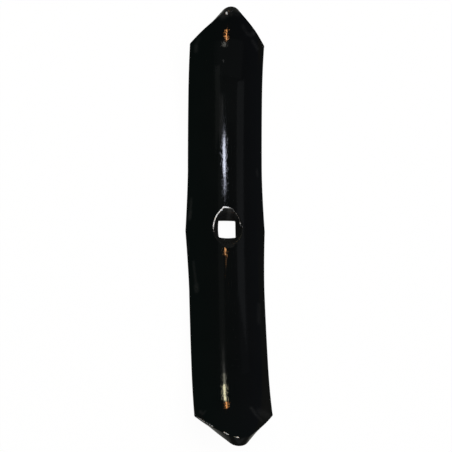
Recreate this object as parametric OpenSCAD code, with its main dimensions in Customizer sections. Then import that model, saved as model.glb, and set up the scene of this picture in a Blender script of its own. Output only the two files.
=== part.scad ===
// Double-ended cultivator share, pressed from one length of flat bar.
// The blank is a flat bar cut to a point at both ends. It is crowned across
// its width, bowed along its length, curled forward at both points, and
// punched in the middle with a countersunk square hole for one plough bolt.
// The share lies crown up: X runs across it, Y along it, and Z out of its
// working face. The origin is under the bolt hole, level with the edges that
// the share rests on.

/* [Flat bar] */
// Width of the bar
bar_w = 50.8; // [40:0.2:64]
// Thickness of the bar
bar_t = 6.35; // [5:0.05:8]
// Length of the blank from tip to tip, measured along the bar
blank_len = 254; // [200:1:320]
// Rounding of the bar's edges
edge_r = 1.2; // [0.6:0.1:2]

/* [Points] */
// Rounding of the cut edges, crisper than the rolled edges of the bar
cut_edge_r = 0.5; // [0.3:0.1:1.5]
// Angle between the two cut edges of a point
point_angle = 88; // [70:1:110]
// Radius that rounds off the tip
tip_r = 8.5; // [5:0.1:12]
// Radius at each shoulder, where the point meets the side of the bar
shoulder_r = 2; // [1.5:0.1:6]

/* [Pressed form] */
// Radius of the crown across the working face
crown_r = 28; // [24:0.5:40]
// Slope of the straight flanks beside the crown
flank_angle = 40; // [25:1:50]
// Radius of the bow along the share
bow_r = 400; // [300:10:900]
// Radius of the forward curl at both ends
curl_r = 84; // [50:1:150]
// Length of bar that is curled at each end
curl_len = 49; // [20:1:60]

/* [Bolt hole] */
// Width of the square hole for the neck of the bolt
hole_w = 10.3; // [8:0.1:13]
// Rounding in the corners of the square hole
hole_corner_r = 0.7; // [0.4:0.1:1.5]
// Diameter of the countersink's mouth on the crest
mouth_d = 22.4; // [18:0.2:27]
// Included angle of the countersink
cone_angle = 80; // [60:1:100]
// Radius of the rolled lip round the countersink
lip_r = 3.7; // [1:0.1:5]
// Swelling of each side of the bar where the hole was punched
swell = 1.9; // [0:0.1:3]
// Distance along the bar over which the swelling fades out
swell_len = 35; // [20:1:45]

/* [Hidden] */
paint = [0.05, 0.05, 0.055];

// Spacing of the stations along the bar and along its cut edges
side_step = 6;
cut_step = 4.2;
// Facets across each face, round each edge, shoulder and tip
across = 20;
edge_facets = 3;
shoulder_facets = 3;
tip_facets = 5;
// Half angle left open at the very tip, closed there by a narrow end face
tip_gap = 8;
// Power that gives the swelling its shape, sharpest beside the hole
swell_power = 1.5;
// How far a cutting shape reaches past the metal
clear = 2;
// Facets of the lip's arc and of round cuts
lip_facets = 8;
round_fn = 96;

half_w = bar_w / 2;
half_len = blank_len / 2;
half_point = point_angle / 2;
// Slope of the cut edge's outward normal, from straight sideways
cut_normal = 90 - half_point;
mouth_r = mouth_d / 2;
cone_slope = 90 - cone_angle / 2;

// The tip's arc is tangent to both cut edges, so the edges would meet in a
// sharp apex beyond it.
tip_centre = half_len - tip_r;
apex = tip_centre + tip_r / sin(half_point);
shoulder = apex - half_w / tan(half_point);
// The shoulder's arc starts this far before the corner.
shoulder_cut = shoulder_r * tan(cut_normal / 2);
side_end = shoulder - shoulder_cut;
curl_start = half_len - curl_len;

// Angle in degrees that a length turns through on a radius
function turn(len, r) = len / r * 180 / PI;

// Half width of the bar at distance s from the hole, swelling included
function half_width(s) = half_w + swell * pow(max(0, 1 - s / swell_len), swell_power);

// Crest line at distance s from the hole: [along, height, slope]
function bowed(s) = [
    bow_r * sin(turn(s, bow_r)),
    bow_r * (1 - cos(turn(s, bow_r))),
    turn(s, bow_r)
];
function curled(s, from) = [
    from[0] + curl_r * (sin(from[2] + turn(s - curl_start, curl_r)) - sin(from[2])),
    from[1] + curl_r * (cos(from[2]) - cos(from[2] + turn(s - curl_start, curl_r))),
    from[2] + turn(s - curl_start, curl_r)
];
function crest_ahead(s) = s <= curl_start ? bowed(s) : curled(s, bowed(curl_start));
function crest(s) = let (ahead = crest_ahead(abs(s))) [
    sign(s) * ahead[0],
    ahead[1],
    sign(s) * ahead[2]
];

// Slope of the pressed face at distance q from the crest, an arc and then a
// straight flank
function face_slope(q) = min(turn(abs(q), crown_r), flank_angle);
function flank_run(q) = max(0, abs(q) - crown_r * flank_angle * PI / 180);

// Point of the metal at distance s along the bar, q across it, and depth d
// under the working face
function pressed(s, q, d) = let (
    line = crest(s),
    slope = face_slope(q),
    out = crown_r * sin(slope) + flank_run(q) * cos(slope) - d * sin(slope),
    down = crown_r * (1 - cos(slope)) + flank_run(q) * sin(slope) + d * cos(slope)
) [
    sign(q) * out,
    line[0] + sin(line[2]) * down,
    line[1] - cos(line[2]) * down
];

// Stations round one end of the flat outline, from beside the hole to the
// tip: [s, q, angle of the outward normal from straight sideways]
function side_stations() = let (n = ceil(side_end / side_step)) [
    for (i = [0 : n]) [side_end * i / n, half_width(side_end * i / n), 0]
];
function arc_station(s, q, r, a) = [s + r * sin(a), q + r * cos(a), a];
function shoulder_stations() = [
    for (i = [1 : shoulder_facets])
        arc_station(side_end, half_w - shoulder_r, shoulder_r, cut_normal * i / shoulder_facets)
];
function cut_stations(from, to) = let (n = ceil(norm(to - from) / cut_step)) [
    for (i = [1 : n - 1]) from + (to - from) * i / n
];
function tip_stations() = [
    for (i = [0 : tip_facets])
        arc_station(tip_centre, 0, tip_r, cut_normal + (90 - tip_gap - cut_normal) * i / tip_facets)
];
function half_stations() = let (
    shoulders = shoulder_stations(),
    tips = tip_stations()
) concat(side_stations(), shoulders, cut_stations(shoulders[shoulder_facets - 1], tips[0]), tips);

// The same stations from one tip to the other
ahead = half_stations();
last = len(ahead) - 1;
stations = concat(
    [for (i = [last : -1 : 1]) [-ahead[i][0], ahead[i][1], -ahead[i][2]]],
    ahead
);

// Radius of a station's edge. It changes evenly round the shoulder's arc.
function edge_radius(st) = edge_r + (cut_edge_r - edge_r) * min(1, abs(st[2]) / cut_normal);

// Rounded edge of radius r from front to back: [inset, depth]
function edge(r) = concat(
    [for (i = [0 : edge_facets]) let (a = 90 * i / edge_facets)
        [r * (1 - sin(a)), r * (1 - cos(a))]],
    [for (i = [edge_facets : -1 : 0]) let (a = 90 * i / edge_facets)
        [r * (1 - sin(a)), bar_t - r * (1 - cos(a))]]
);
edge_last = 2 * edge_facets + 1;

// A station's point at a share of the width from the crest (-1 to 1) and an
// [inset, depth] of the edge
function station_point(st, share, step) =
    pressed(st[0] - step[0] * sin(st[2]), share * (st[1] - step[0] * cos(st[2])), step[1]);

// Closed ring of points round the bar at one station: working face from left
// to right, right edge, back face, left edge
function ring(st) = let (steps = edge(edge_radius(st))) concat(
    [for (i = [0 : across]) station_point(st, 2 * i / across - 1, steps[0])],
    [for (i = [1 : edge_last - 1]) station_point(st, 1, steps[i])],
    [for (i = [0 : across]) station_point(st, 1 - 2 * i / across, steps[edge_last])],
    [for (i = [edge_last - 1 : -1 : 1]) station_point(st, -1, steps[i])]
);
ring_len = 2 * (across + 1) + 2 * (edge_last - 1);

// Strips that close one end of the rings: a strip between the working face
// and the first step of the edge, one between each pair of steps, and one at
// the back
function right(i) = across + i;
function left(i) = (ring_len - i) % ring_len;
back_row = [for (i = [0 : across]) right(edge_last) + i];
function end_strips() = concat(
    [concat([for (i = [0 : across]) i], [right(1), left(1)])],
    [for (i = [1 : edge_last - 2]) [left(i), right(i), right(i + 1), left(i + 1)]],
    [concat([left(edge_last - 1), right(edge_last - 1)], back_row)]
);
function reversed(list) = [for (i = [len(list) - 1 : -1 : 0]) list[i]];

// Height of the crest over the edges that the share rests on
rest_height = -min([for (p = ring(ahead[0])) p[2]]);

module pressed_bar() {
    rings = len(stations);
    points = [for (st = stations) each ring(st)];
    sides = [
        for (k = [0 : rings - 2], i = [0 : ring_len - 1]) let (j = (i + 1) % ring_len)
            [k * ring_len + i, (k + 1) * ring_len + i, (k + 1) * ring_len + j, k * ring_len + j]
    ];
    far_end = [for (f = end_strips()) [for (v = reversed(f)) v + (rings - 1) * ring_len]];
    polyhedron(points = points, faces = concat(sides, end_strips(), far_end), convexity = 6);
}

// Square hole with rounded corners, right through the bar
module bolt_hole() {
    straight = hole_w - 2 * hole_corner_r;
    translate([0, 0, -bar_t - clear])
        linear_extrude(bar_t + 2 * clear) {
            square([straight, hole_w], center = true);
            square([hole_w, straight], center = true);
            for (x = [-straight / 2, straight / 2], y = [-straight / 2, straight / 2])
                translate([x, y])
                    circle(hole_corner_r, $fn = round_fn);
        }
}

// Countersink for the bolt's head: a lip rolled over into a cone. The cone
// runs on to its apex, inside the square hole.
module countersink() {
    cone_top_r = mouth_r - lip_r * sin(cone_slope);
    cone_top_z = -lip_r * (1 - cos(cone_slope));
    rotate_extrude($fn = round_fn)
        polygon(concat(
            [[0, clear], [mouth_r + clear, clear]],
            [for (i = [0 : lip_facets]) let (a = cone_slope * i / lip_facets)
                [mouth_r - lip_r * sin(a), -lip_r * (1 - cos(a))]],
            [[0, cone_top_z - cone_top_r * tan(cone_slope)]]
        ));
}

module share() {
    color(paint)
        translate([0, 0, rest_height])
            difference() {
                pressed_bar();
                bolt_hole();
                countersink();
            }
}

share();
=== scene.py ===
# Double-ended cultivator share in gloss black paint, lying crown up on a white floor.
# Lengths are metres and angles radians. X runs across the share, Y along it to one
# point, and Z out of its working face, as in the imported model.
import math
from types import SimpleNamespace

import bmesh
import bpy
import numpy as np
from bpy.props import FloatProperty, FloatVectorProperty, PointerProperty
from mathutils import Matrix, Vector


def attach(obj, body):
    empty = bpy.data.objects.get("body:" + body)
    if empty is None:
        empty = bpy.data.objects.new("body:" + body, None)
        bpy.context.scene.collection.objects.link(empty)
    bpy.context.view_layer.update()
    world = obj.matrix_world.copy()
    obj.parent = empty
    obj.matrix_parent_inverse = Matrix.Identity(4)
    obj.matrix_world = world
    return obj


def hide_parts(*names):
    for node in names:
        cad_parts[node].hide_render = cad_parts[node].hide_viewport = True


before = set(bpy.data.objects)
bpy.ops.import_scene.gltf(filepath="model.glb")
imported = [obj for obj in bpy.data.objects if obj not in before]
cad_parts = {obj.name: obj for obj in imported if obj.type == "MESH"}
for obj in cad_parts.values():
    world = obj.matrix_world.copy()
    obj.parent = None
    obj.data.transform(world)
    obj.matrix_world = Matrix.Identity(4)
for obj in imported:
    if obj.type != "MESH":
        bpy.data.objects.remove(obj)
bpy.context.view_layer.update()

bl_info = {
    "name": "Cultivator share",
    "version": (1, 0, 0),
    "blender": (4, 5, 0),
    "location": "View3D > Sidebar > Share",
    "description": "Builds a pressed cultivator share with its paint, floor, lamps and camera",
    "category": "Add Mesh",
}

MM = 0.001

# Spacing of the mesh along the sides, along the cut edges and across the faces
SIDE_CELLS = 84
SHOULDER_CELLS = 5
CUT_CELLS = 28
TIP_CELLS = 12
FACE_CELLS = 80
EDGE_CELLS = 5
# The patch round the hole reaches this many cells from the middle of each face
PATCH_SIDE_CELLS = 12
PATCH_FACE_CELLS = 20
# Rows of the patch from the working face to the back: the face, where they crowd towards
# the rim by a power, the rim's rounding, the cone, the rounding at each end of the square
# hole, its wall and the back
FRONT_ROWS = 20
FRONT_CROWDING = 1.7
RIM_ROWS = 7
CONE_ROWS = 10
HOLE_EDGE_ROWS = 4
WALL_ROWS = 8
BACK_ROWS = 8
# Cells on half of the arc in each corner of the square hole
CORNER_CELLS = 3
# How often the search for the rim's radius halves its range
HALVINGS = 40
# Vertices closer than this are one
WELD = 1e-6
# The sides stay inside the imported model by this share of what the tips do
SIDE_SNUG = 0.2
# Number of long waves in the pressed face, and the shortest and the longest
WAVE_COUNT = 14
WAVE_LENGTHS = (0.015, 0.05)

# Scuffs in the paint, and painted sheen where the edges and the far tip catch light,
# each from one place on the working face to another: along and across at the start,
# along and across at the end, half width, strength. The lengths are in mm.
SCUFFS_AND_SHEEN = (
    (117.5, 6.8, 113.0, 9.8, 0.8, 0.3),
    (113.0, 9.8, 111.5, 12.8, 0.8, 0.4),
    (112.6, 14.1, 112.4, 14.6, 1.2, 0.7),
    (108.4, 14.3, 103.4, 18.8, 0.9, 0.5),
    (108.3, -18.8, 104.8, -20.4, 1.0, 0.4),
    (103.8, -20.4, 101.3, -20.4, 1.1, 0.7),
    (-105.3, 8.8, -109.2, 11.3, 0.9, 0.6),
    (-109.2, 11.3, -111.6, 14.4, 0.9, 0.5),
    (-106.7, 14.3, -106.3, 19.9, 2.2, 0.4),
    (-103.6, -20.8, -105.4, -19.2, 0.7, 0.6),
    (-105.4, -19.2, -104.6, -17.6, 0.6, 0.5),
    (17.5, -22.6, 10.5, -23.2, 0.8, 0.6),
    (10.5, -23.2, 7.0, -23.8, 1.0, 0.9),
    (-7.0, -25.0, -11.0, -24.7, 0.7, 0.4),
    (-18.5, -21.5, -32.0, -20.0, 0.7, 0.5),
    (-32.0, -20.0, -35.0, -19.7, 1.2, 0.8),
    (34.5, 20.1, 32.2, 20.5, 0.9, 0.4),
    (-44.0, 19.0, -53.4, 18.4, 1.4, 0.3),
    (126.3, -1.8, 124.8, -0.9, 1.3, 0.5),
    (123.2, -5.8, 126.0, -2.4, 1.8, 0.75),
    (125.4, -3.4, 124.0, -3.3, 1.2, 0.75),
    (126.3, -1.0, 125.4, 3.4, 1.6, 0.35),
    (-105.6, -23.5, -115.5, -13.9, 0.4, 1.0),
)
# Painted highlights along the near cut edges and on the far tip, drawn as steel rubbed
# through the paint, in the same form
BARE_EDGE_GLINTS = (
    (-121.3, -8.3, -123.7, -5.9, 0.20, 0.9),
    (-125.8, -2.5, -126.4, -1.0, 0.24, 0.9),
    (-105.6, -23.5, -115.5, -13.9, 0.24, 0.52),
    (125.4, -3.5, 124.5, -3.3, 0.45, 1.0),
)
# The rubbed band round the countersink's rim, which also paints the rim's highlight: angle
# in degrees, how far it lies outside the rim in mm, half width in mm, strength
RIM_WEAR_AND_GLINT = (
    (-5, -0.90, 0.24, 0.0),
    (2, -0.90, 0.30, 0.5),
    (10, -0.90, 0.34, 0.8),
    (20, -0.75, 0.30, 0.7),
    (30, -0.58, 0.20, 0.36),
    (54, -0.08, 0.20, 0.33),
    (72, 0.12, 0.20, 0.35),
    (80, 0.22, 0.24, 0.4),
    (86, 0.42, 0.30, 0.7),
    (92, 0.62, 0.42, 1.0),
    (97, 0.75, 0.48, 1.0),
    (104, 0.85, 0.46, 1.0),
    (110, 0.88, 0.43, 1.0),
    (118, 0.84, 0.39, 1.0),
    (126, 0.74, 0.36, 1.0),
    (136, 0.50, 0.34, 1.0),
    (147, 0.25, 0.34, 1.0),
    (158, 0.10, 0.34, 1.0),
    (170, 0.03, 0.34, 1.0),
    (178, 0.02, 0.30, 0.8),
    (186, 0.02, 0.26, 0.45),
    (196, 0.02, 0.24, 0.35),
    (200, 0.02, 0.24, 0.0),
)
# The band reaches this far under the foot of the lip
RIM_BAND_DEPTH = 0.0008
# The countersink's own finish starts this far outside its rim and is whole after the fade
WELL_MARGIN = 0.0007
WELL_FADE = 0.0006
# Dust in the countersink, which also paints sheen where its walls would mirror light: its
# depth under the crest, the level of the film, what the far wall adds to it, and the
# middle, width and level of the streak on that wall
FILM_DEPTH = 0.006
FILM = 0.34
FAR_FILM = 0.16
STREAK_MIDDLE = 0.0009
STREAK_WIDTH = 0.0011
STREAK = 1.1

# The paint's noise textures, in cells a metre
TONE_SCALE = 55.0
CRUMB_SCALE = 1400.0
SMEAR_SCALE = 140.0
# The crumbs: where their noise starts and ends, and the least and the most that they leave
# of a mask
CRUMB_NOISE = (0.35, 0.65)
CRUMB_SHARE = (0.35, 1.0)
# Where the mask of rubbed steel and painted highlights starts to show steel and where it is
# all steel
STEEL_AND_GLINT_SHOWS = (0.18, 0.6)
# The least and the most that smears leave of the roughness
SMEAR_SHARE = (0.7, 1.3)
# How dusty a cut edge is, a dust that also paints sheen on the end faces, and what dust,
# the countersink and bare steel add to the roughness
EDGE_DUST_AND_SHEEN = 0.25
DUST_ROUGHNESS = 0.25
WELL_ROUGHNESS = 0.15
STEEL_ROUGHNESS = 0.35
STEEL_METALLIC = 0.25
# Level of the mirror images in the paint, and in the countersink
SHINE = 0.5
WELL_SHINE = 0.1

# Share of the floor's colour that the share's shadow leaves as it is
FLOOR_GLOW = 0.97
# Grey patch under each tip, which glows for every ray but the camera's, painted light that
# the paint mirrors: its middle, either way along the share, the distances between which it
# fades, its levels there and its tint
GREY_PLACE = (0.0, 0.10, 0.0)
GREY_REACH = (0.02, 0.09)
GREY_LEVELS = (0.28, 0.05)
GREY_TINT = (0.98, 1.0, 0.92)
# Tints of the room on the left and on the right, and where one passes into the other
LEFT_TINT = (0.5, 1.2, 1.1)
RIGHT_TINT = (0.8, 0.95, 1.3)
TINT_SPAN = (-0.7, 0.7)
# Heights between which the room's light falls to its own level, and how much lighter it is
# under them
HORIZON = (0.3, 0.9)
HORIZON_LIGHT = 1.5
WHITE = (1.0, 1.0, 1.0)
# Where the soft box stands, its side and its level
SOFT_BOX_PLACE = (0.25, 0.2, 1.6)
SOFT_BOX_SIDE = 1.2
SOFT_BOX_LEVEL = 0.95
# Where the near panel stands and what it faces, its width, height and brightness
NEAR_PANEL_PLACE = (0.06, -0.90, 0.07)
NEAR_PANEL_AIM = (0.0, 0.0, 0.03)
NEAR_PANEL_SIZE = (1.5, 0.16)
NEAR_PANEL_BRIGHTNESS = 0.11
# Where the camera aims, from the crest at the hole
CAMERA_AIM = (-0.00132, 0.00099, -0.00002)


class ShareSizes(bpy.types.PropertyGroup):
    """Driving sizes of the pressed share"""

    bar_w: FloatProperty(
        name="Bar width", description="Width of the flat bar", default=0.0508, unit="LENGTH"
    )
    bar_t: FloatProperty(
        name="Bar thickness", description="Thickness of the flat bar", default=0.00635,
        unit="LENGTH",
    )
    blank_len: FloatProperty(
        name="Blank length", description="Length from tip to tip along the bar", default=0.254,
        unit="LENGTH",
    )
    edge_r: FloatProperty(
        name="Edge rounding", description="Rounding of the bar's edges", default=0.0012,
        unit="LENGTH",
    )
    cut_edge_r: FloatProperty(
        name="Cut edge rounding", description="Rounding of the cut edges", default=0.0005,
        unit="LENGTH",
    )
    point_angle: FloatProperty(
        name="Point angle", description="Angle between the two cut edges of a point",
        default=math.radians(88), subtype="ANGLE",
    )
    tip_r: FloatProperty(
        name="Tip radius", description="Radius that rounds off the tip", default=0.0085,
        unit="LENGTH",
    )
    shoulder_r: FloatProperty(
        name="Shoulder radius", description="Radius where the point meets the side", default=0.002,
        unit="LENGTH",
    )
    crown_r: FloatProperty(
        name="Crown radius", description="Radius across the working face", default=0.028,
        unit="LENGTH",
    )
    flank_angle: FloatProperty(
        name="Flank angle", description="Slope of the straight flanks beside the crown",
        default=math.radians(40), subtype="ANGLE",
    )
    bow_r: FloatProperty(
        name="Bow radius", description="Radius of the bow along the share", default=0.4,
        unit="LENGTH",
    )
    curl_r: FloatProperty(
        name="Curl radius", description="Radius of the forward curl at both ends", default=0.084,
        unit="LENGTH",
    )
    curl_len: FloatProperty(
        name="Curl length", description="Length of bar that is curled at each end", default=0.049,
        unit="LENGTH",
    )
    hole_w: FloatProperty(
        name="Hole width", description="Width of the square bolt hole", default=0.0103,
        unit="LENGTH",
    )
    hole_corner_r: FloatProperty(
        name="Hole corner radius", description="Rounding in the hole's corners", default=0.0007,
        unit="LENGTH",
    )
    mouth_d: FloatProperty(
        name="Mouth diameter", description="Diameter of the countersink's mouth", default=0.0224,
        unit="LENGTH",
    )
    cone_angle: FloatProperty(
        name="Cone angle", description="Included angle of the countersink",
        default=math.radians(80), subtype="ANGLE",
    )
    lip_r: FloatProperty(
        name="Lip radius", description="Radius of the rolled lip", default=0.0037, unit="LENGTH"
    )
    swell: FloatProperty(
        name="Swelling", description="Swelling of each side beside the hole", default=0.0019,
        unit="LENGTH",
    )
    swell_len: FloatProperty(
        name="Swelling length", description="Distance over which the swelling fades", default=0.035,
        unit="LENGTH",
    )
    swell_power: FloatProperty(
        name="Swelling power", description="How sharply the swelling peaks", default=1.5
    )
    rim_blend: FloatProperty(
        name="Rim rounding", description="Reach of the rounding over the countersink's rim",
        default=0.0006, unit="LENGTH",
    )
    hole_blend: FloatProperty(
        name="Hole edge rounding", description="Reach of the rounding at the square hole's edges",
        default=0.00022, unit="LENGTH",
    )
    snug: FloatProperty(
        name="Snugness", description="How far each tip stays inside the packed model",
        default=0.0003, unit="LENGTH",
    )
    wave_height: FloatProperty(
        name="Wave height", description="Height of the long waves that pressing leaves",
        default=0.000005, unit="LENGTH",
    )


class PaintFinish(bpy.types.PropertyGroup):
    """Colours and textures of the black paint"""

    dark: FloatVectorProperty(
        name="Paint", description="Darker tone of the paint", subtype="COLOR",
        default=(0.0018, 0.0020, 0.0020),
    )
    light: FloatVectorProperty(
        name="Paint, lighter", description="Lighter tone of the paint", subtype="COLOR",
        default=(0.0030, 0.0033, 0.0032),
    )
    # Also the painted sheen of the scuffs, the cut ends and the countersink
    dust_and_sheen: FloatVectorProperty(
        name="Scuff", description="Colour of scuffed paint", subtype="COLOR",
        default=(0.020, 0.021, 0.021),
    )
    # Also the painted highlights along the rim, the cut edges and the far tip
    steel_and_glint: FloatVectorProperty(
        name="Bare steel", description="Colour of the rubbed edges", subtype="COLOR",
        default=(0.95, 0.95, 0.96),
    )
    gloss: FloatProperty(
        name="Roughness", description="Roughness of the paint", default=0.05, subtype="FACTOR"
    )
    peel_size: FloatProperty(
        name="Orange peel size", description="Size of the dimples in the paint", default=0.0011,
        unit="LENGTH",
    )
    peel_depth: FloatProperty(
        name="Orange peel depth", description="Depth of the dimples in the paint", default=0.000008,
        unit="LENGTH",
    )
    grain_size: FloatProperty(
        name="Grain size", description="Size of the grains under the paint", default=0.00022,
        unit="LENGTH",
    )
    grain_tilt: FloatProperty(
        name="Grain tilt", description="Largest sideways lean of a grain", default=0.065,
        subtype="ANGLE",
    )


class StageSizes(bpy.types.PropertyGroup):
    """Floor, light level and camera"""

    floor_w: FloatProperty(
        name="Floor width", description="Side of the square floor", default=1.2, unit="LENGTH"
    )
    lamp_reach: FloatProperty(
        name="Lamp distance", description="Distance of the small lamps from the share",
        default=0.75, unit="LENGTH",
    )
    room: FloatProperty(
        name="Room light", description="Brightness of the room round the share", default=0.025
    )
    camera_reach: FloatProperty(
        name="Camera distance", description="From the crest at the hole to the camera",
        default=0.73707, unit="LENGTH",
    )
    camera_side: FloatProperty(
        name="Camera to the left",
        description="Turn of the camera to the left of the face's normal",
        default=0.1567, subtype="ANGLE",
    )
    camera_down: FloatProperty(
        name="Camera towards the near end", description="Turn of the camera towards the near end",
        default=0.1881, subtype="ANGLE",
    )
    camera_roll: FloatProperty(
        name="Camera roll", description="Roll of the camera", default=-0.0168, subtype="ANGLE"
    )
    lens: FloatProperty(name="Lens", description="Focal length in millimetres", default=102.26)


def share_form(sizes):
    """Derived sizes of the share, from the driving ones."""
    form = SimpleNamespace(**{key: getattr(sizes, key) for key in ShareSizes.__annotations__})
    form.half_w = form.bar_w / 2 - form.snug * SIDE_SNUG
    form.half_len = form.blank_len / 2 - form.snug
    half_point = form.point_angle / 2
    form.cut_normal = math.pi / 2 - half_point
    form.tip_centre = form.half_len - form.tip_r
    apex = form.tip_centre + form.tip_r / math.sin(half_point)
    shoulder = apex - form.half_w / math.tan(half_point)
    form.side_end = shoulder - form.shoulder_r * math.tan(form.cut_normal / 2)
    form.curl_start = form.half_len - form.curl_len
    form.mouth_r = form.mouth_d / 2
    form.cone_slope = math.pi / 2 - form.cone_angle / 2
    form.cone_top_r = form.mouth_r - form.lip_r * math.sin(form.cone_slope)
    form.cone_top_z = -form.lip_r * (1 - math.cos(form.cone_slope))
    form.rest_height = 0.0
    inset, depth = edge_profile(form.edge_r, form)
    low = pressed(0.0, half_width(0.0, form) - inset, depth, form)
    form.rest_height = -low[:, 2].min()
    return form


def half_width(s, form):
    """Half width of the flat bar at s: the bar's own, and a swelling that fades as a power
    of the distance from the hole."""
    fade = np.maximum(0, 1 - np.abs(s) / form.swell_len)
    return form.half_w + form.swell * fade**form.swell_power


def crest_line(s, form):
    """Crest at s along the bar: an arc of radius bow_r and, past curl_start, an arc of
    radius curl_r that carries on from its slope. Gives place along, height and slope."""
    bowed = np.minimum(np.abs(s), form.curl_start) / form.bow_r
    curled = bowed + np.maximum(np.abs(s) - form.curl_start, 0) / form.curl_r
    along = form.bow_r * np.sin(bowed) + form.curl_r * (np.sin(curled) - np.sin(bowed))
    height = form.bow_r * (1 - np.cos(bowed)) + form.curl_r * (np.cos(bowed) - np.cos(curled))
    return np.sign(s) * along, height, np.sign(s) * curled


def pressed(s, q, d, form):
    """Metal at s along the bar, q across it and d under the working face. Across, the face
    is an arc of radius crown_r up to the flank angle and then straight. That section
    stands square on the crest line."""
    along, height, slope = crest_line(s, form)
    face = np.minimum(np.abs(q) / form.crown_r, form.flank_angle)
    run = np.maximum(0, np.abs(q) - form.crown_r * form.flank_angle)
    out = form.crown_r * np.sin(face) + run * np.cos(face) - d * np.sin(face)
    down = form.crown_r * (1 - np.cos(face)) + run * np.sin(face) + d * np.cos(face)
    x = np.sign(q) * out
    y = along + np.sin(slope) * down
    z = form.rest_height + height - np.cos(slope) * down
    return np.stack(np.broadcast_arrays(x, y, z), axis=-1)


def face_height(x, y, d, form):
    """Height of the bowed crown over the point x, y, at depth d under the working face and
    measured from the crest: a ring surface, bow_r less the root of the squares of
    bow_r plus the crown's drop at x, and y."""
    drop = form.crown_r - np.sqrt((form.crown_r - d) ** 2 - x**2)
    return form.bow_r - np.sqrt((form.bow_r + drop) ** 2 - y**2)


def edge_profile(r, form):
    """Inset and depth round the bar's edge from front to back, a quarter circle of radius r
    at each. One row for each r, if r is a column."""
    turn = np.linspace(0, math.pi / 2, EDGE_CELLS + 1)
    inset = r * (1 - np.sin(turn))
    depth = r * (1 - np.cos(turn))
    return (
        np.concatenate([inset, inset[..., ::-1]], axis=-1),
        np.concatenate([depth, form.bar_t - depth[..., ::-1]], axis=-1),
    )


def outline_stations(form):
    """Stations round the flat outline from one tip to the other: s, q and the angle of the
    outward normal from straight sideways. Each end is the swollen side, the shoulder's
    arc, the straight cut and the tip's arc, which closes on the middle line."""
    side_s = np.linspace(0, form.side_end, SIDE_CELLS + 1)
    shoulder_a = np.linspace(0, form.cut_normal, SHOULDER_CELLS + 1)[1:]
    tip_a = np.linspace(form.cut_normal, math.pi / 2, TIP_CELLS + 1)
    shoulder_s = form.side_end + form.shoulder_r * np.sin(shoulder_a)
    shoulder_q = form.half_w - form.shoulder_r + form.shoulder_r * np.cos(shoulder_a)
    tip_s = form.tip_centre + form.tip_r * np.sin(tip_a)
    tip_q = form.tip_r * np.cos(tip_a)
    cut_s = np.linspace(shoulder_s[-1], tip_s[0], CUT_CELLS + 1)[1:-1]
    cut_q = np.linspace(shoulder_q[-1], tip_q[0], CUT_CELLS + 1)[1:-1]
    s = np.concatenate([side_s, shoulder_s, cut_s, tip_s])
    q = np.concatenate([half_width(side_s, form), shoulder_q, cut_q, tip_q])
    a = np.concatenate([0 * side_s, shoulder_a, 0 * cut_s + form.cut_normal, tip_a])
    return (
        np.concatenate([-s[:0:-1], s]),
        np.concatenate([q[:0:-1], q]),
        np.concatenate([-a[:0:-1], a]),
    )


def skin_grid(form):
    """Points of the bar's skin, one closed ring a station, how much each point belongs to a
    cut edge, and the quads between them, with a block of cells left out of each face for
    the hole's patch. A ring is the working face from left to right, the right edge, the
    back and the left edge."""
    s, q, a = (column[:, None] for column in outline_stations(form))
    r = form.edge_r + (form.cut_edge_r - form.edge_r) * np.minimum(1, np.abs(a) / form.cut_normal)
    inset, depth = edge_profile(r, form)
    share = np.linspace(-1, 1, FACE_CELLS + 1)
    face = 0 * share
    ones = np.ones(inset.shape[1] - 2)
    ring_share = np.concatenate([share, ones, -share, -ones])
    ring_inset = np.concatenate([face + r, inset[:, 1:-1], face + r, inset[:, -2:0:-1]], axis=1)
    front = face + 0 * r
    ring_depth = np.concatenate(
        [front, depth[:, 1:-1], front + form.bar_t, depth[:, -2:0:-1]], axis=1
    )
    ring_s = s - ring_inset * np.sin(a)
    ring_q = ring_share * (q - ring_inset * np.cos(a))
    points = pressed(ring_s, ring_q, ring_depth, form)
    sheared = np.clip(np.minimum(ring_depth, form.bar_t - ring_depth) / r, 0, 1)
    sheared = sheared * np.minimum(1, np.abs(a) / form.cut_normal)

    rings, count = points.shape[:2]
    k, i = np.meshgrid(np.arange(rings - 1), np.arange(count), indexing="ij")
    j = (i + 1) % count
    near, far = k * count, (k + 1) * count
    quads = np.stack([near + i, near + j, far + j, far + i], axis=-1)
    middle_ring = rings // 2
    in_length = (k >= middle_ring - PATCH_SIDE_CELLS) & (k < middle_ring + PATCH_SIDE_CELLS)
    first = FACE_CELLS // 2 - PATCH_FACE_CELLS
    last = FACE_CELLS // 2 + PATCH_FACE_CELLS
    back = FACE_CELLS + inset.shape[1] - 1
    in_front = (i >= first) & (i < last)
    in_back = (i >= back + first) & (i < back + last)
    return points.reshape(-1, 3), sheared.ravel(), quads[~(in_length & (in_front | in_back))]


def square_edge(form):
    """Points round the square hole, starting at its near left corner, with the corners as
    arcs. Each side has as many points as the patch has cells there."""
    half = form.hole_w / 2
    r = form.hole_corner_r
    inner = half - r
    leaving = np.linspace(0, math.pi / 4, CORNER_CELLS + 1)
    arriving = math.pi / 4 + leaving
    sides = []
    for quarter, cells in enumerate((2 * PATCH_FACE_CELLS, 2 * PATCH_SIDE_CELLS) * 2):
        straight = np.linspace(-inner, inner, cells - 2 * CORNER_CELLS + 1)[1:-1]
        x = np.concatenate([-inner - r * np.cos(arriving), straight, inner + r * np.sin(leaving)])
        y = np.concatenate(
            [-inner - r * np.sin(arriving), 0 * straight - half, -inner - r * np.cos(leaving)]
        )
        c, n = math.cos(quarter * math.pi / 2), math.sin(quarter * math.pi / 2)
        sides.append(np.stack([c * x - n * y, n * x + c * y], axis=-1)[:-1])
    return np.concatenate(sides)


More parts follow.
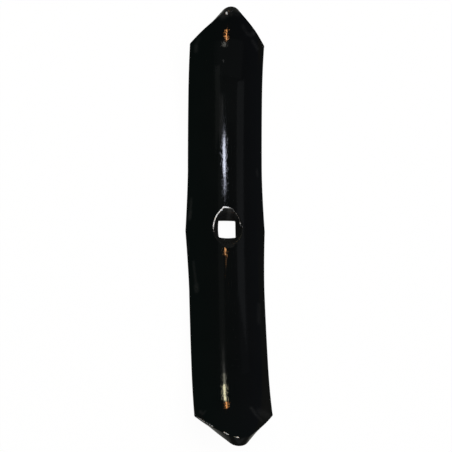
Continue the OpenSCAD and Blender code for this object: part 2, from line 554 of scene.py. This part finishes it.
def patch_border(form):
    """Places s and share of the width round the block that the skin leaves out, from its near
    left corner, one for each point of square_edge."""
    s = form.side_end * np.arange(-PATCH_SIDE_CELLS, PATCH_SIDE_CELLS + 1) / SIDE_CELLS
    share = 2 * np.arange(-PATCH_FACE_CELLS, PATCH_FACE_CELLS + 1) / FACE_CELLS
    border_s = np.concatenate([0 * share[:-1] + s[0], s[:-1], 0 * share[:-1] + s[-1], s[:0:-1]])
    border_share = np.concatenate(
        [share[:-1], 0 * s[:-1] + share[-1], share[:0:-1], 0 * s[:-1] + share[0]]
    )
    return border_s, border_share


def lip_height(r, form):
    """Height of the countersink at radius r, from the crest: a cone, the lip's arc, and a
    slope of one in one past the mouth."""
    cone = form.cone_top_z - (form.cone_top_r - r) * math.tan(form.cone_slope)
    reach = np.clip(form.mouth_r - r, 0, form.lip_r)
    lip = np.sqrt(form.lip_r**2 - reach**2) - form.lip_r
    return np.where(r < form.cone_top_r, cone, np.where(r < form.mouth_r, lip, r - form.mouth_r))


def rim_radius(angle, form):
    """Radius at which the countersink meets the working face, by halving the range between
    the hole and the mouth until it closes."""
    low = np.full_like(angle, form.hole_w / 2)
    high = np.full_like(angle, form.mouth_r + form.edge_r)
    for _ in range(HALVINGS):
        r = (low + high) / 2
        under = lip_height(r, form) < face_height(r * np.cos(angle), r * np.sin(angle), 0, form)
        low = np.where(under, r, low)
        high = np.where(under, high, r)
    return r


def bend(start, corner, end, cells):
    """Quadratic curve from start to end that leaves and arrives along the lines to corner,
    without its two end points."""
    t = np.linspace(0, 1, cells + 1)[1:-1, None, None]
    return (1 - t) ** 2 * start + 2 * t * (1 - t) * corner + t**2 * end


def hole_patch(form):
    """Closed band from the working face, over the countersink's rim, down its cone and the
    square hole's walls, and out over the back. Rows run down the band and columns round
    it, so each column is a radial cut."""
    edge = square_edge(form)
    angle = np.arctan2(edge[:, 1], edge[:, 0])
    unit = np.stack([np.cos(angle), np.sin(angle)], axis=-1)
    hole_r = np.hypot(edge[:, 0], edge[:, 1])
    rim_r = rim_radius(angle, form)

    def at(radius, height):
        plan = unit * radius[..., None]
        return np.concatenate([plan, (form.rest_height + height)[..., None]], axis=-1)

    def on_face(plan, depth):
        height = form.rest_height + face_height(plan[..., 0], plan[..., 1], depth, form)
        return np.concatenate([plan, height[..., None]], axis=-1)

    def spread(inner, border, depth, count, power=1.0):
        t = np.linspace(0, 1, count + 1)[:, None, None] ** power
        return on_face(inner + (border - inner) * t, depth)

    border_s, border_share = patch_border(form)
    border_q = border_share * (half_width(border_s, form) - form.edge_r)
    front = pressed(border_s, border_q, 0, form)[:, :2]
    back = pressed(border_s, border_q, form.bar_t, form)[:, :2]

    out_r = rim_r + form.rim_blend
    in_r = rim_r - form.rim_blend
    rim_out = on_face(unit * out_r[:, None], 0)
    rim_corner = on_face(unit * rim_r[:, None], 0)
    rim_in = at(in_r, lip_height(in_r, form))
    t = np.linspace(0, 1, CONE_ROWS + 1)[:, None]
    cone_r = in_r + (hole_r + form.hole_blend - in_r) * t
    cone = at(cone_r, lip_height(cone_r, form))
    top = lip_height(hole_r, form)
    wall_top = at(hole_r, top - form.hole_blend)
    bottom = face_height(edge[:, 0], edge[:, 1], form.bar_t, form)
    t = np.linspace(0, 1, WALL_ROWS + 1)[:, None]
    wall = at(hole_r + 0 * t, top - form.hole_blend + (bottom - top + 2 * form.hole_blend) * t)
    back_in = on_face(unit * (hole_r + form.hole_blend)[:, None], form.bar_t)
    rows = np.concatenate([
        spread(rim_out[:, :2], front, 0, FRONT_ROWS, FRONT_CROWDING)[::-1],
        bend(rim_out, rim_corner, rim_in, RIM_ROWS),
        cone,
        bend(cone[-1], at(hole_r, top), wall_top, HOLE_EDGE_ROWS),
        wall,
        bend(wall[-1], at(hole_r, bottom), back_in, HOLE_EDGE_ROWS),
        spread(back_in[:, :2], back, form.bar_t, BACK_ROWS),
    ])
    count = rows.shape[1]
    k, i = np.meshgrid(np.arange(rows.shape[0] - 1), np.arange(count), indexing="ij")
    j = (i + 1) % count
    row, below = k * count, (k + 1) * count
    quads = np.stack([row + i, below + i, below + j, row + j], axis=-1)
    return rows.reshape(-1, 3), quads.reshape(-1, 4)


def long_waves(points, seed=5):
    """Sum of sine waves of 15 to 50 mm along and across, of unit height, with lengths,
    directions and phases drawn from a seeded generator."""
    rng = np.random.default_rng(seed)
    waves = np.zeros(len(points))
    for _ in range(WAVE_COUNT):
        length = rng.uniform(*WAVE_LENGTHS)
        direction = rng.uniform(0, math.pi)
        phase = rng.uniform(0, 2 * math.pi)
        run = points[:, 0] * math.cos(direction) + points[:, 1] * math.sin(direction)
        waves += np.sin(2 * math.pi * run / length + phase)
    return waves / math.sqrt(WAVE_COUNT)


def stroke_mask(points, strokes, form):
    """Strength at each point of a set of strokes on the working face: each fades as a smooth
    step of the distance to the straight line between its ends, over its half width."""
    mask = np.zeros(len(points))
    for s0, q0, s1, q1, reach, strength in strokes:
        start = pressed(s0 * MM, q0 * MM, 0.0, form)
        line = pressed(s1 * MM, q1 * MM, 0.0, form) - start
        t = np.clip((points - start) @ line / (line @ line), 0, 1)
        distance = np.linalg.norm(points - start - t[:, None] * line, axis=1)
        fade = np.clip(1 - distance / (2 * reach * MM), 0, 1)
        mask = np.maximum(mask, strength * fade * fade * (3 - 2 * fade))
    return mask


def rim_mask(points, form):
    """Metal showing through the paint along the countersink's rim, which also paints the rim's
    highlight: a band that fades as a bell curve of the distance from its middle. The rim's
    table gives the middle, the half width and the strength, with straight lines between its
    angles."""
    angle = np.arctan2(points[:, 1], points[:, 0])
    turn = np.degrees(angle)
    turn = np.where(turn < -90, turn + 360, turn)
    knots, offset, reach, strength = np.array(RIM_WEAR_AND_GLINT).T
    middle = rim_radius(angle, form) + np.interp(turn, knots, offset) * MM
    distance = np.hypot(points[:, 0], points[:, 1]) - middle
    band = np.exp(-((distance / (np.interp(turn, knots, reach) * MM)) ** 2))
    front = points[:, 2] > form.rest_height + form.cone_top_z - RIM_BAND_DEPTH
    return front * band * np.interp(turn, knots, strength)


def pit_mask(points, form):
    """One inside the countersink and the square hole, nought a little outside its rim."""
    angle = np.arctan2(points[:, 1], points[:, 0])
    inside = rim_radius(angle, form) - np.hypot(points[:, 0], points[:, 1])
    return np.clip((inside + WELL_MARGIN) / WELL_FADE, 0, 1)


def well_dust_and_sheen(points, form):
    """Dust in the countersink, up to the rim, which also paints its sheen: a thin film,
    thicker on the far wall, and there a bell curve across, a little right of the middle, a
    painted reflection."""
    streak = np.exp(-(((points[:, 0] - STREAK_MIDDLE) / STREAK_WIDTH) ** 2))
    far = np.clip((points[:, 1] - form.hole_w / 2) / WELL_FADE, 0, 1)
    front = points[:, 2] > form.rest_height - FILM_DEPTH
    return (FILM + (FAR_FILM + STREAK * streak) * far) * front * pit_mask(points, form)


def build_share(sizes):
    """Mesh object of the pressed share, with its masks for cut edges, for scuffs and painted
    sheen, for metal showing through and painted highlights, and for the countersink."""
    form = share_form(sizes)
    skin, sheared, skin_quads = skin_grid(form)
    patch, patch_quads = hole_patch(form)
    points = np.concatenate([skin, patch])
    quads = np.concatenate([skin_quads, patch_quads + len(skin)])
    mesh = bpy.data.meshes.new("pressed_share")
    mesh.from_pydata(points, [], quads.tolist())
    add_mask(mesh, "sheared", np.concatenate([sheared, 0 * patch[:, 0]]))
    tidy_mesh(mesh)

    place = vertex_rows(mesh, "co")
    normal = vertex_rows(mesh, "normal")
    # Scuffs, the countersink's dust and painted sheen share one mask; rubbed steel and painted
    # highlights the other
    add_mask(mesh, "scuff_and_sheen", np.maximum(stroke_mask(place, SCUFFS_AND_SHEEN, form), well_dust_and_sheen(place, form)))
    add_mask(mesh, "bare_and_glint", np.maximum(stroke_mask(place, BARE_EDGE_GLINTS, form), rim_mask(place, form)))
    add_mask(mesh, "pit", pit_mask(place, form))
    place += normal * (form.wave_height * long_waves(place))[:, None]
    place[:, 2] = np.maximum(place[:, 2], 0)
    mesh.vertices.foreach_set("co", place.astype(np.float32).ravel())
    mesh.update()
    share = bpy.data.objects.new("pressed_share", mesh)
    bpy.context.scene.collection.objects.link(share)
    return share


def tidy_mesh(mesh):
    """Welds the borders and tips, turns every face outwards and smooths the shading."""
    work = bmesh.new()
    work.from_mesh(mesh)
    bmesh.ops.remove_doubles(work, verts=work.verts, dist=WELD)
    bmesh.ops.dissolve_degenerate(work, edges=work.edges, dist=WELD / 10)
    bmesh.ops.recalc_face_normals(work, faces=work.faces)
    work.to_mesh(mesh)
    work.free()
    mesh.polygons.foreach_set("use_smooth", np.ones(len(mesh.polygons), bool))
    mesh.update()


def vertex_rows(mesh, key):
    """Place or normal of each vertex, a row each."""
    values = np.empty(len(mesh.vertices) * 3, np.float32)
    mesh.vertices.foreach_get(key, values)
    return values.reshape(-1, 3).astype(float)


def add_mask(mesh, name, values):
    """Stores a value for each vertex that the paint's material reads."""
    layer = mesh.attributes.new(name, "FLOAT", "POINT")
    layer.data.foreach_set("value", values.astype(np.float32))


class Nodes:
    """Short way to add nodes to a material or world and to link them."""

    def __init__(self, tree):
        self.tree = tree
        tree.nodes.clear()

    def add(self, kind, inputs=None, **settings):
        """New node. Each input is a value or the socket to link it from."""
        node = self.tree.nodes.new(kind)
        for key, value in settings.items():
            setattr(node, key, value)
        for key, value in (inputs or {}).items():
            if isinstance(value, bpy.types.NodeSocket):
                self.tree.links.new(value, node.inputs[key])
            else:
                node.inputs[key].default_value = value
        return node

    def math(self, operation, *values):
        """Result of a maths node."""
        return self.add("ShaderNodeMath", dict(enumerate(values)), operation=operation).outputs[0]

    def vector(self, operation, *values):
        """Vector maths node."""
        return self.add("ShaderNodeVectorMath", dict(enumerate(values)), operation=operation)

    def noise(self, place, scale, detail):
        """Level of a noise texture."""
        inputs = {"Vector": place, "Scale": scale, "Detail": detail}
        return self.add("ShaderNodeTexNoise", inputs).outputs["Fac"]

    def mask(self, name):
        """Value that the mesh keeps for each vertex."""
        return self.add("ShaderNodeAttribute", attribute_name=name).outputs["Fac"]

    def remap(self, value, low, high, to_low, to_high):
        """Value carried in a straight line from one range to another, and held there."""
        inputs = {
            "Value": value, "From Min": low, "From Max": high, "To Min": to_low, "To Max": to_high
        }
        return self.add("ShaderNodeMapRange", inputs).outputs["Result"]

    def blend(self, factor, first, second):
        """Colour between two colours. A mix node of colours takes them at 6 and 7 and gives
        its own at 2."""
        inputs = {"Factor": factor, 6: first, 7: second}
        return self.add("ShaderNodeMix", inputs, data_type="RGBA").outputs[2]


def rgba(colour):
    """Colour with full opacity."""
    return (*colour, 1.0)


def paint_material(finish):
    """Gloss black paint: two near blacks, fine orange peel, grains that lean sideways, powdery
    grey scuffs that also paint sheen, and metal showing through that also paints highlights,
    which the mesh's own masks place."""
    material = bpy.data.materials.new("gloss_black_paint")
    material.use_nodes = True
    nodes = Nodes(material.node_tree)
    place = nodes.add("ShaderNodeTexCoord").outputs["Object"]

    tone = nodes.noise(place, TONE_SCALE, detail=4.0)
    paint = nodes.blend(tone, rgba(finish.dark), rgba(finish.light))

    # Dust of scuffs and cut edges, which also paints sheen where they catch light
    grit = nodes.noise(place, CRUMB_SCALE, detail=3.0)
    crumbs = nodes.remap(grit, *CRUMB_NOISE, *CRUMB_SHARE)
    scuffed_and_sheen = nodes.math("MULTIPLY", nodes.mask("scuff_and_sheen"), crumbs)
    edges = nodes.math("MULTIPLY", nodes.mask("sheared"), EDGE_DUST_AND_SHEEN)
    speckled = nodes.math("MULTIPLY", edges, crumbs)
    dulled = nodes.math("MAXIMUM", scuffed_and_sheen, speckled)
    dust_and_sheen_paint = nodes.blend(dulled, paint, rgba(finish.dust_and_sheen))

    # Rubbed steel, which also paints highlights along the rim, the cut edges and the far tip
    rubbed_and_glint = nodes.math("MULTIPLY", nodes.mask("bare_and_glint"), crumbs)
    worn_and_glint = nodes.remap(rubbed_and_glint, *STEEL_AND_GLINT_SHOWS, 0.0, 1.0)
    colour = nodes.blend(worn_and_glint, dust_and_sheen_paint, rgba(finish.steel_and_glint))

    smear = nodes.noise(place, SMEAR_SCALE, detail=3.0)
    least, most = (finish.gloss * share for share in SMEAR_SHARE)
    gloss = nodes.remap(smear, 0.0, 1.0, least, most)
    matt = nodes.math("MULTIPLY_ADD", dulled, DUST_ROUGHNESS, gloss)
    pit = nodes.mask("pit")
    thick = nodes.math("MULTIPLY_ADD", pit, WELL_ROUGHNESS, matt)
    rough = nodes.math("MULTIPLY_ADD", worn_and_glint, STEEL_ROUGHNESS, thick)
    metal = nodes.math("MULTIPLY", worn_and_glint, STEEL_METALLIC)
    shine = nodes.remap(pit, 0.0, 1.0, SHINE, WELL_SHINE)

    # Each grain draws a number from -1 to 1, and its fifth power leaves most of them level.
    grains = nodes.add("ShaderNodeTexVoronoi", {"Vector": place, "Scale": 1 / finish.grain_size})
    draw = nodes.add("ShaderNodeSeparateColor", {0: grains.outputs["Color"]}).outputs[0]
    even = nodes.remap(draw, 0.0, 1.0, -1.0, 1.0)
    square = nodes.math("MULTIPLY", even, even)
    cube = nodes.math("MULTIPLY", square, even)
    fifth = nodes.math("MULTIPLY", square, cube)
    lean = nodes.math("MULTIPLY", fifth, finish.grain_tilt)
    aside = nodes.add("ShaderNodeCombineXYZ", {"X": lean}).outputs["Vector"]
    smooth = nodes.add("ShaderNodeNewGeometry").outputs["Normal"]
    leaning = nodes.vector("ADD", smooth, aside).outputs["Vector"]
    leaning = nodes.vector("NORMALIZE", leaning).outputs["Vector"]
    dimples = nodes.noise(place, 1 / finish.peel_size, detail=1.0)
    peel = nodes.add(
        "ShaderNodeBump",
        {
            "Height": dimples,
            "Strength": 1.0,
            "Distance": finish.peel_depth,
            "Normal": leaning,
        },
    )

    shader = nodes.add(
        "ShaderNodeBsdfPrincipled",
        {
            "Base Color": colour,
            "Roughness": rough,
            "Metallic": metal,
            "Specular IOR Level": shine,
            "Normal": peel.outputs["Normal"],
            "IOR": 1.5,
        },
    )
    nodes.add("ShaderNodeOutputMaterial", {"Surface": shader.outputs["BSDF"]})
    return material


def floor_material():
    """White floor. The camera sees it white with a trace of the share's shadow. The glossy
    paint mirrors it as in the photo: dark, but for a grey patch under each tip that fades
    with the distance from its middle."""
    material = bpy.data.materials.new("white_floor")
    material.use_nodes = True
    nodes = Nodes(material.node_tree)
    path = nodes.add("ShaderNodeLightPath")
    shade = nodes.add("ShaderNodeBsdfDiffuse", {"Color": rgba(WHITE)})
    white = nodes.add("ShaderNodeEmission", {"Color": rgba(WHITE), "Strength": 1.0})
    seen = nodes.add(
        "ShaderNodeMixShader", {0: FLOOR_GLOW, 1: shade.outputs[0], 2: white.outputs[0]}
    )
    # For every ray but the camera's the floor only glows: a grey patch under each tip, painted
    # light that the paint mirrors, and dim elsewhere
    place = nodes.add("ShaderNodeTexCoord").outputs["Object"]
    either = nodes.vector("ABSOLUTE", place).outputs["Vector"]
    away = nodes.vector("DISTANCE", either, GREY_PLACE).outputs["Value"]
    level = nodes.remap(away, *GREY_REACH, *GREY_LEVELS)
    patch = nodes.add("ShaderNodeEmission", {"Color": rgba(GREY_TINT), "Strength": level})
    both = nodes.add(
        "ShaderNodeMixShader",
        {0: path.outputs["Is Camera Ray"], 1: patch.outputs[0], 2: seen.outputs[0]},
    )
    nodes.add("ShaderNodeOutputMaterial", {"Surface": both.outputs[0]})
    return material


def camera_place(stage, form):
    """Point where the camera stands: camera_reach from the crest at the hole, turned to the
    left and towards the near end."""
    side, down = stage.camera_side, stage.camera_down
    level = math.cos(down)
    back = Vector((-math.sin(side) * level, -math.sin(down), math.cos(side) * level))
    return Vector((0, 0, form.rest_height)) + back * stage.camera_reach


def face_normal(s, q, form):
    """Outward normal of the working face, from the cross product of two short steps."""
    step = 1e-6
    ahead = pressed(s + step, q, 0.0, form) - pressed(s - step, q, 0.0, form)
    aside = pressed(s, q + step, 0.0, form) - pressed(s, q - step, 0.0, form)
    normal = np.cross(aside, ahead)
    return normal / np.linalg.norm(normal)


def mirrored(s, q, stage, form):
    """A place on the working face, and the direction in which it mirrors the camera's view."""
    point = pressed(s, q, 0.0, form)
    view = np.array(camera_place(stage, form)) - point
    view /= np.linalg.norm(view)
    normal = face_normal(s, q, form)
    return point, 2 * (normal @ view) * normal - view


# Small lamps, each placed so that the working face shows it to the camera between two
# places: name, along and across in mm at the start and at the end, width in metres,
# brightness, colour
LAMPS = (
    ("white_lamp_top", 52.0, -2.1, 44.0, -2.1, 0.075, 25.0, (0.80, 0.84, 1.0)),
    ("white_lamp", 44.0, -1.9, 31.9, -1.9, 0.075, 27.0, (0.80, 0.84, 1.0)),
    ("white_lamp_low", 31.9, -1.7, 20.8, -1.7, 0.055, 10.5, (0.78, 0.82, 1.0)),
    ("pale_strip_top", 78.0, -3.9, 68.0, -3.9, 0.12, 0.12, (1.0, 1.0, 1.0)),
    ("pale_strip", 68.0, -3.8, 56.0, -3.7, 0.12, 0.25, (1.0, 1.0, 1.0)),
    ("window_first", -73.0, -5.1, -78.5, -5.1, 0.06, 0.25, (1.0, 1.0, 0.95)),
    ("window_top", -78.5, -5.1, -84.5, -5.1, 0.06, 0.75, (1.0, 1.0, 0.95)),
    ("window_middle", -84.5, -5.1, -91.0, -5.2, 0.055, 3.9, (1.0, 0.98, 0.78)),
    ("window_low", -91.0, -5.5, -101.0, -5.7, 0.06, 20.0, (1.0, 0.93, 0.62)),
    ("warm_lamp_near", -101.6, -5.1, -105.4, -5.3, 0.028, 30.0, (1.0, 0.43, 0.14)),
    ("warm_lamp_far", 115.2, -2.4, 111.2, -2.4, 0.028, 32.0, (1.0, 0.42, 0.13)),
    ("warm_lamp_far_low", 111.2, -2.3, 108.8, -2.3, 0.028, 26.0, (1.0, 0.45, 0.17)),
    ("grey_lamp_far", 108.0, -3.2, 105.5, -3.2, 0.10, 1.9, (1.0, 1.0, 0.9)),
    ("warm_lamp_over", -10.8, -2.0, -13.6, -2.0, 0.04, 45.0, (1.0, 0.47, 0.18)),
    ("small_lamp_far", 97.4, -3.3, 96.2, -3.3, 0.02, 1.2, (1.0, 1.0, 1.0)),
    ("far_glow", 110.0, -0.2, 88.0, -0.2, 1.1, 0.015, (0.95, 1.0, 0.98)),
    ("far_glow_long", 114.0, 0.4, 72.0, 0.4, 0.9, 0.015, (0.95, 1.0, 0.98)),
    ("right_panel_far", 93.0, 7.6, 8.0, 7.5, 0.24, 0.105, (0.90, 0.95, 1.0)),
    ("right_panel_near", -30.0, 7.4, -90.0, 7.3, 0.27, 0.019, (0.85, 0.92, 1.1)),
    ("left_panel_far", 96.9, -6.6, 72.0, -5.9, 0.16, 0.08, (0.95, 1.0, 0.95)),
    ("left_panel_near", -33.0, -6.2, -66.0, -3.6, 0.34, 0.05, (0.95, 1.0, 0.95)),
)


def add_lamp(name, centre, towards, along, width, length, brightness, colour):
    """Rectangular lamp of a given brightness that faces a point. Its power is brightness
    times its area times pi."""
    data = bpy.data.lights.new(name, "AREA")
    data.shape = "RECTANGLE"
    data.size = width
    data.size_y = length
    data.color = colour
    data.energy = brightness * width * length * math.pi
    lamp = bpy.data.objects.new(name, data)
    z = Vector(centre - towards).normalized()
    y = Vector(along)
    y = (y - z * y.dot(z)).normalized()
    x = y.cross(z)
    turn = Matrix((x, y, z)).transposed().to_4x4()
    lamp.matrix_world = Matrix.Translation(Vector(centre)) @ turn
    lamp.visible_camera = False
    bpy.context.scene.collection.objects.link(lamp)
    return lamp


def add_mirrored_lamps(stage, form):
    """The small lamps that the paint shows as streaks and bands."""
    for name, s0, q0, s1, q1, width, brightness, colour in LAMPS:
        start, to_start = mirrored(s0 * MM, q0 * MM, stage, form)
        end, to_end = mirrored(s1 * MM, q1 * MM, stage, form)
        middle, to_middle = mirrored((s0 + s1) / 2 * MM, (q0 + q1) / 2 * MM, stage, form)
        along = end + to_end * stage.lamp_reach - start - to_start * stage.lamp_reach
        length = np.linalg.norm(along)
        centre = middle + to_middle * stage.lamp_reach
        add_lamp(name, centre, middle, along, width, length, brightness, colour)


def add_soft_box():
    """Wide soft lamp overhead that lights colours at the level they are written. The paint
    doesn't mirror it."""
    place = np.array(SOFT_BOX_PLACE)
    side = SOFT_BOX_SIDE
    brightness = place[2] ** 2 / side**2 * math.pi * SOFT_BOX_LEVEL
    lamp = add_lamp("soft_box", place, np.zeros(3), (0, 1, 0), side, side, brightness, WHITE)
    lamp.visible_glossy = False


def add_near_panel():
    """Low wide panel beyond the near end, which the near tip mirrors."""
    place = np.array(NEAR_PANEL_PLACE)
    aim = np.array(NEAR_PANEL_AIM)
    brightness = NEAR_PANEL_BRIGHTNESS
    add_lamp("near_panel", place, aim, (0, 0, 1), *NEAR_PANEL_SIZE, brightness, WHITE)


def add_room(stage):
    """White background for the camera and a dim room for everything else, a little green on
    the left and blue on the right, and lighter towards the horizon."""
    world = bpy.data.worlds.new("dim_room")
    world.use_nodes = True
    nodes = Nodes(world.node_tree)
    path = nodes.add("ShaderNodeLightPath")
    place = nodes.add("ShaderNodeTexCoord").outputs["Generated"]
    direction = nodes.add("ShaderNodeSeparateXYZ", {0: place})
    rightward = nodes.remap(direction.outputs["X"], *TINT_SPAN, 0.0, 1.0)
    tint = nodes.blend(rightward, rgba(LEFT_TINT), rgba(RIGHT_TINT))
    lightest = stage.room * HORIZON_LIGHT
    level = nodes.remap(direction.outputs["Z"], *HORIZON, lightest, stage.room)
    room = nodes.add("ShaderNodeBackground", {"Color": tint, "Strength": level})
    white = nodes.add("ShaderNodeBackground", {"Color": rgba(WHITE), "Strength": 1.0})
    both = nodes.add(
        "ShaderNodeMixShader",
        {0: path.outputs["Is Camera Ray"], 1: room.outputs[0], 2: white.outputs[0]},
    )
    nodes.add("ShaderNodeOutputWorld", {"Surface": both.outputs[0]})
    bpy.context.scene.world = world


def add_floor(stage):
    """Square floor under the share."""
    half = stage.floor_w / 2
    corners = np.array([(-half, -half, 0), (half, -half, 0), (half, half, 0), (-half, half, 0)])
    mesh = bpy.data.meshes.new("floor")
    mesh.from_pydata(corners, [], [(0, 1, 2, 3)])
    mesh.materials.append(floor_material())
    floor = bpy.data.objects.new("floor", mesh)
    bpy.context.scene.collection.objects.link(floor)


def add_camera(stage, form):
    """Camera over the working face, a little to the left and towards the near end. Its aim is
    a little off the crest, which frames the share as the photo does."""
    place = camera_place(stage, form)
    aim = Vector(CAMERA_AIM) + Vector((0, 0, form.rest_height))
    z = (place - aim).normalized()
    x = Vector((0, 1, 0)).cross(z).normalized()
    y = z.cross(x)
    turn = Matrix((x, y, z)).transposed().to_4x4() @ Matrix.Rotation(stage.camera_roll, 4, "Z")
    data = bpy.data.cameras.new("camera")
    data.lens = stage.lens
    data.sensor_width = 36.0
    data.clip_start = 0.01
    camera = bpy.data.objects.new("camera", data)
    camera.matrix_world = Matrix.Translation(place) @ turn
    bpy.context.scene.collection.objects.link(camera)
    bpy.context.scene.camera = camera


class SHARE_OT_pressed_share(bpy.types.Operator):
    """Build the pressed share with its countersunk square hole and its paint"""

    bl_idname = "share.pressed_share"
    bl_label = "Pressed share"

    def execute(self, context):
        share = build_share(context.scene.share_sizes)
        share.data.materials.append(paint_material(context.scene.paint_finish))
        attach(share, "root")
        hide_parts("share")
        return {"FINISHED"}


class SHARE_OT_stage(bpy.types.Operator):
    """Lay the floor, set up the lamps and the room, and place the camera"""

    bl_idname = "share.stage"
    bl_label = "Floor, lamps and camera"

    def execute(self, context):
        stage = context.scene.stage_sizes
        form = share_form(context.scene.share_sizes)
        add_floor(stage)
        add_room(stage)
        add_soft_box()
        add_near_panel()
        add_mirrored_lamps(stage, form)
        add_camera(stage, form)
        context.scene.view_settings.view_transform = "Standard"
        return {"FINISHED"}


class SHARE_PT_panel(bpy.types.Panel):
    """The share's pieces and their sizes"""

    bl_label = "Cultivator share"
    bl_space_type = "VIEW_3D"
    bl_region_type = "UI"
    bl_category = "Share"

    def draw(self, context):
        for operator in OPERATORS:
            self.layout.operator(operator.bl_idname)
        scene = context.scene
        for group in (scene.share_sizes, scene.paint_finish, scene.stage_sizes):
            box = self.layout.box()
            for key in group.__annotations__:
                box.prop(group, key)


OPERATORS = (SHARE_OT_pressed_share, SHARE_OT_stage)
CLASSES = (ShareSizes, PaintFinish, StageSizes, *OPERATORS, SHARE_PT_panel)


def register():
    """Adds the classes and their settings to Blender."""
    for kind in CLASSES:
        bpy.utils.register_class(kind)
    bpy.types.Scene.share_sizes = PointerProperty(type=ShareSizes)
    bpy.types.Scene.paint_finish = PointerProperty(type=PaintFinish)
    bpy.types.Scene.stage_sizes = PointerProperty(type=StageSizes)


def unregister():
    """Takes the settings and the classes out again."""
    del bpy.types.Scene.stage_sizes
    del bpy.types.Scene.paint_finish
    del bpy.types.Scene.share_sizes
    for kind in reversed(CLASSES):
        bpy.utils.unregister_class(kind)


def main():
    """Builds the share and its stage."""
    register()
    bpy.ops.share.pressed_share()
    bpy.ops.share.stage()


if __name__ == "__main__":
    main()
